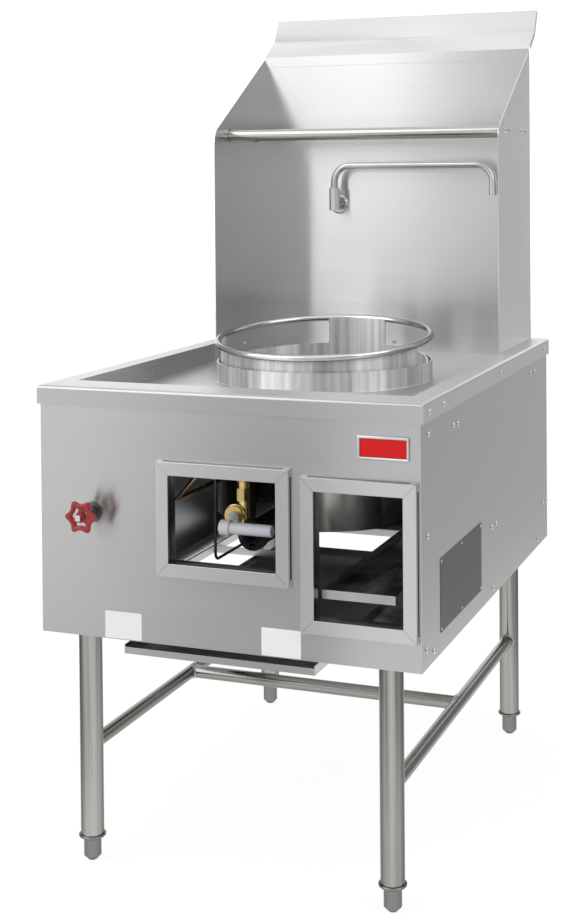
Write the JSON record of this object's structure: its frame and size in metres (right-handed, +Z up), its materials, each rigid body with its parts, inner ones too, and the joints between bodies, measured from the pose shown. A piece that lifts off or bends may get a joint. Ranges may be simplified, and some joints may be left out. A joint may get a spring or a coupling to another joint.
{
  "type": "wok burner",
  "caption": "Stainless gas wok range on legs with a deep pan, tilted wok ring, high splash back, swing faucet, front windows and pull-out trays.",
  "frame": {"origin": "on the floor under the centre of the bounding box", "axes": "+Z up, -Y towards the cook at the front, +X to the cook's right"},
  "size_m": [0.718, 1.0942, 1.584],
  "materials": {
    "panel_steel": "brushed",
    "hidden_steel": "satin",
    "deck_steel": "polished",
    "ring_steel": "satin",
    "splash_steel": "polished",
    "tube_steel": "polished",
    "foot_steel": "satin",
    "frame_steel": "brushed",
    "tray_steel": "satin",
    "scorched_steel": "matte",
    "fire_clay": "matte",
    "burner_iron": "matte",
    "brass": "satin",
    "gas_pipe": "matte",
    "galvanised": "satin",
    "grip_grey": "satin",
    "copper": "satin",
    "dark_line": "satin",
    "wheel_red": "gloss",
    "chrome": "polished",
    "badge_red": "gloss",
    "label_white": "matte"
  },
  "bodies": {
    "range": {"deck_top": "deck_steel", "wok_collar": "ring_steel", "chamber_shell": "scorched_steel", "chamber_lining": "fire_clay", "burner_head": "burner_iron", "burner_jets": "brass", "mixer_tube": "burner_iron", "burner_bar": "scorched_steel", "orifice_elbow": "burner_iron", "gas_valve": "brass", "gas_manifold": "gas_pipe", "pilot_valve": "brass", "pilot_line": "dark_line", "copper_tube": "copper", "water_valve": "dark_line", "water_inlet": "galvanised", "water_riser": "galvanised", "front_panel": "panel_steel", "left_panel": "panel_steel", "right_panel": "panel_steel", "rear_panel": "hidden_steel", "bottom_frame": "hidden_steel", "left_frame": "frame_steel", "right_frame": "frame_steel", "tray_brackets": "hidden_steel", "drip_runners": "hidden_steel", "leg_front_left": "tube_steel", "leg_front_right": "tube_steel", "leg_rear_left": "tube_steel", "leg_rear_right": "tube_steel", "leg_sockets": "hidden_steel", "stretchers": "tube_steel", "cross_stretcher": "tube_steel", "splash_back": "splash_steel", "splash_sides": "splash_steel", "splash_cap": "splash_steel", "rails": "tube_steel", "rail_bolts": "chrome", "faucet_flange": "chrome", "swivel_body": "chrome", "badge_frame": "chrome", "badge_plate": "badge_red", "labels": "label_white", "screws": "chrome"},
    "wok_ring": {"wok_band": "ring_steel", "wok_tube": "ring_steel"},
    "water_handwheel": {"hand_wheel": "wheel_red", "wheel_nut": "galvanised", "valve_stem": "galvanised"},
    "gas_lever": {"valve_lever": "galvanised", "lever_grip": "grip_grey"},
    "swing_spout": {"spout": "chrome", "spout_nozzle": "chrome"},
    "grease_drawer": {"grease_tray": "tray_steel"},
    "drip_drawer": {"drip_tray": "deck_steel"},
    "air_disc": {"air_shutter": "burner_iron"},
    "left_front_foot": {"foot_front_left": "foot_steel"},
    "right_front_foot": {"foot_front_right": "foot_steel"},
    "left_rear_foot": {"foot_rear_left": "foot_steel"},
    "right_rear_foot": {"foot_rear_right": "foot_steel"}
  },
  "joints": [
    {"name": "wok_ring_lift", "type": "slide", "parent": "range", "child": "wok_ring", "axis": [0, 0, 1], "range_m": [0, 0.15]},
    {"name": "handwheel_turn", "type": "hinge", "parent": "range", "child": "water_handwheel", "pos_m": [-0.247, -0.49307, 0.635], "axis": [0, -1, 0], "range_deg": [0, 1080]},
    {"name": "gas_lever_turn", "type": "hinge", "parent": "range", "child": "gas_lever", "pos_m": [-0.009, -0.42707, 0.631], "axis": [0, 1, 0], "range_deg": [0, 90]},
    {"name": "spout_swing", "type": "hinge", "parent": "range", "child": "swing_spout", "pos_m": [-0.131, 0.41892, 1.16], "axis": [0, 0, 1], "range_deg": [-110, 0]},
    {"name": "grease_tray_pull", "type": "slide", "parent": "range", "child": "grease_drawer", "axis": [0, -1, 0], "range_m": [0, 0.36]},
    {"name": "drip_tray_pull", "type": "slide", "parent": "range", "child": "drip_drawer", "axis": [0, -1, 0], "range_m": [0, 0.5]},
    {"name": "air_shutter_turn", "type": "hinge", "parent": "range", "child": "air_disc", "pos_m": [0, -0.36707, 0.583], "axis": [0, 1, 0], "range_deg": [0, 60]},
    {"name": "left_front_foot_level", "type": "slide", "parent": "range", "child": "left_front_foot", "axis": [0, 0, 1], "range_m": [-0.025, 0]},
    {"name": "right_front_foot_level", "type": "slide", "parent": "range", "child": "right_front_foot", "axis": [0, 0, 1], "range_m": [-0.025, 0]},
    {"name": "left_rear_foot_level", "type": "slide", "parent": "range", "child": "left_rear_foot", "axis": [0, 0, 1], "range_m": [-0.025, 0]},
    {"name": "right_rear_foot_level", "type": "slide", "parent": "range", "child": "right_rear_foot", "axis": [0, 0, 1], "range_m": [-0.025, 0]}
  ]
}
